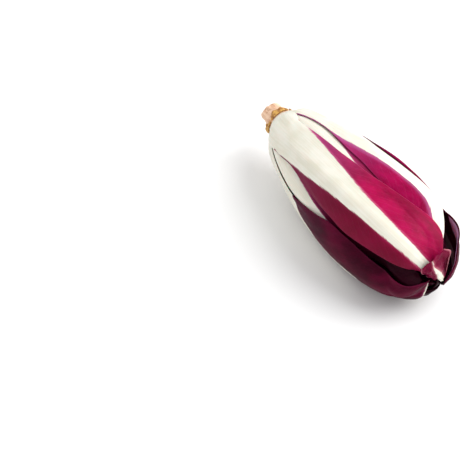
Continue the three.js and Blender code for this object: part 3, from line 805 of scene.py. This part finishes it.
def make_root():
    """The stub with its cut end, and the core that the leaves grow on."""
    sides = 96
    x_outside = np.linspace(-STUB_LENGTH, STUB_END, 60)
    x_inside = np.linspace(CORE_START, CORE_DEPTH - 2, 30)
    r_outside, r_inside = along(STUB_PROFILE, x_outside), along(CORE_PROFILE, x_inside)
    x = np.concatenate([np.full(8, -STUB_LENGTH), x_outside, x_inside])
    r = np.concatenate([np.linspace(0.05, 4.5, 8), r_outside, r_inside])
    turn = np.radians(np.arange(sides) * 360 / sides)
    xs, ts = np.meshgrid(x, turn, indexing="ij")
    rs = np.repeat(r[:, None], sides, 1)
    outside = np.clip(-xs / 3, 0, 1)
    around = np.degrees(ts)
    lumps = 0.5 * waves(xs / 5, np.cos(ts) * 2 + 7, 3) + 0.5 * waves(xs / 3, np.sin(ts) * 3, 4)
    grooves = 0.35 * waves(xs / 9, around / 20, 5) * np.abs(np.sin(ts / 2))
    rs = rs + (lumps + grooves) * outside * np.clip(rs / 5, 0, 1)
    points = np.stack([xs, rs * np.sin(ts), rs * np.cos(ts)], -1)
    cut = np.clip((-xs - 8) / (STUB_LENGTH - 8), 0, 1)
    chips = 0.5 * waves(points[..., 1] / 2, points[..., 2] / 2, 6)
    points[..., 0] += cut * (CUT_SLANT * points[..., 2] + chips)
    rows = len(x)
    i, j = np.meshgrid(np.arange(rows - 1), np.arange(sides), indexing="ij")
    a = (i * sides + j).ravel()
    b = (i * sides + (j + 1) % sides).ravel()
    faces = np.stack([a, b, b + sides, a + sides], -1)
    return make_object("stub", points.reshape(-1, 3), faces, root_material(), "root_stub")


def make_scar(piece, node, angle, half_width, reach, material):
    """What is left of a trimmed leaf: a thin curled flap round the stub."""
    rows, columns = 24, 60
    t, u = np.meshgrid(np.linspace(0, 1, rows), np.linspace(-1, 1, columns), indexing="ij")
    ragged = 1.1 * waves(u * 6, angle, 8)
    back = SCAR_BACK + reach * u * u + ragged
    x = back + (-0.8 - back) * t
    turn = np.radians(angle + ROLL + u * half_width)
    under = along(STUB_PROFILE, x) + 0.5 + 1.6 * (1 - t) ** 2 * (0.5 + 0.5 * waves(u * 3, angle, 9))
    thickness = 1.3 * (0.35 + 0.65 * t) * (1 - 0.6 * u * u) + 0.25
    points = []
    for r in (under + thickness, under):
        points.append(np.stack([x, r * np.sin(turn), r * np.cos(turn)], -1).reshape(-1, 3))
    faces = shell_faces(rows, columns)
    return make_object(piece, np.concatenate(points), faces, material, node)


# ---------------------------------------------------------------- the head
make_root()
scar = scar_material()
SCARS = [("front", 12, 40, 3), ("low", -78, 44, 4), ("back", 110, 46, 2), ("under", 200, 38, 3.5)]
for part, angle, half_width, reach in SCARS:
    make_scar(f"scar_{part}", f"trimmed_base_{part}", angle, half_width, reach, scar)

core_x, core_r = outline(cell_s)
envelope = np.where(core_x > CORE_DEPTH, 0, along(CORE_PROFILE, core_x)) - core_r
inner_leaves[0].update(curled=True, material=curled_material)
for leaf in [*inner_leaves, *wrapper_leaves, *outer_leaves]:
    leaf["piece"] = leaf["node"].replace("_leaf", "") + "_leaf"
    make_leaf(leaf, envelope)

# ---------------------------------------------------------------- floor, lights, camera
def make_floor():
    mesh = bpy.data.meshes.new("floor")
    size, low = 6.0, -0.0004
    corners = [(-size, -size, low), (size, -size, low), (size, size, low), (-size, size, low)]
    mesh.from_pydata(corners, [], [(0, 1, 2, 3)])
    g = Graph("floor")
    g.shader.inputs["Base Color"].default_value = (0.86, 0.86, 0.86, 1)
    g.shader.inputs["Roughness"].default_value = 0.9
    mesh.materials.append(g.material)
    floor = bpy.data.objects.new("floor", mesh)
    bpy.context.scene.collection.objects.link(floor)


def make_light(name, position, target, size, power):
    data = bpy.data.lights.new(name, "AREA")
    data.shape = "DISK"
    data.size = size
    data.energy = power
    lamp = bpy.data.objects.new(name, data)
    lamp.location = position
    lamp.rotation_mode = "QUATERNION"
    lamp.rotation_quaternion = (Vector(target) - Vector(position)).to_track_quat("-Z", "Y")
    bpy.context.scene.collection.objects.link(lamp)


make_floor()
HEAD_MIDDLE = (0.01, 0.0, 0.03)
make_light("key", (0.60, 0.70, 1.15), HEAD_MIDDLE, 1.3, 20)
make_light("fill", (-0.5, -0.9, 1.1), HEAD_MIDDLE, 1.2, 1)
world = bpy.data.worlds.new("world")
world.use_nodes = True
world.node_tree.nodes["Background"].inputs["Color"].default_value = (1, 1, 1, 1)
world.node_tree.nodes["Background"].inputs["Strength"].default_value = 0.88
bpy.context.scene.world = world
bpy.context.scene.view_settings.view_transform = "Standard"

# The camera looks down at the head from the tips' side, the head's middle right of and above the picture's.
AZIMUTH, ELEVATION, DISTANCE = 59.0, 44.0, 0.886
LENS, SENSOR = 100.0, 36.0
ASIDE, ABOVE = 0.2522, 0.0851  # where the head's middle is seen, in half widths from the centre

azimuth, elevation = math.radians(AZIMUTH), math.radians(ELEVATION)
level = math.cos(elevation)
back = Vector((math.sin(azimuth) * level, -math.cos(azimuth) * level, math.sin(elevation)))
right = Vector((math.cos(azimuth), math.sin(azimuth), 0))
up = back.cross(right)
middle = Vector((AXIS_START + np.array([HEAD_LENGTH / 2, 0, 0])) * MM)
half_view = DISTANCE * SENSOR / 2 / LENS
camera = bpy.data.objects.new("camera", bpy.data.cameras.new("camera"))
camera.data.lens = LENS
camera.data.sensor_width = SENSOR
camera.data.clip_start, camera.data.clip_end = 0.05, 50
camera.location = middle + back * DISTANCE - right * (ASIDE * 2 * half_view) - up * (ABOVE * 2 * half_view)
camera.rotation_mode = "QUATERNION"
camera.rotation_quaternion = (-back).to_track_quat("-Z", "Y")
bpy.context.scene.collection.objects.link(camera)
bpy.context.scene.camera = camera
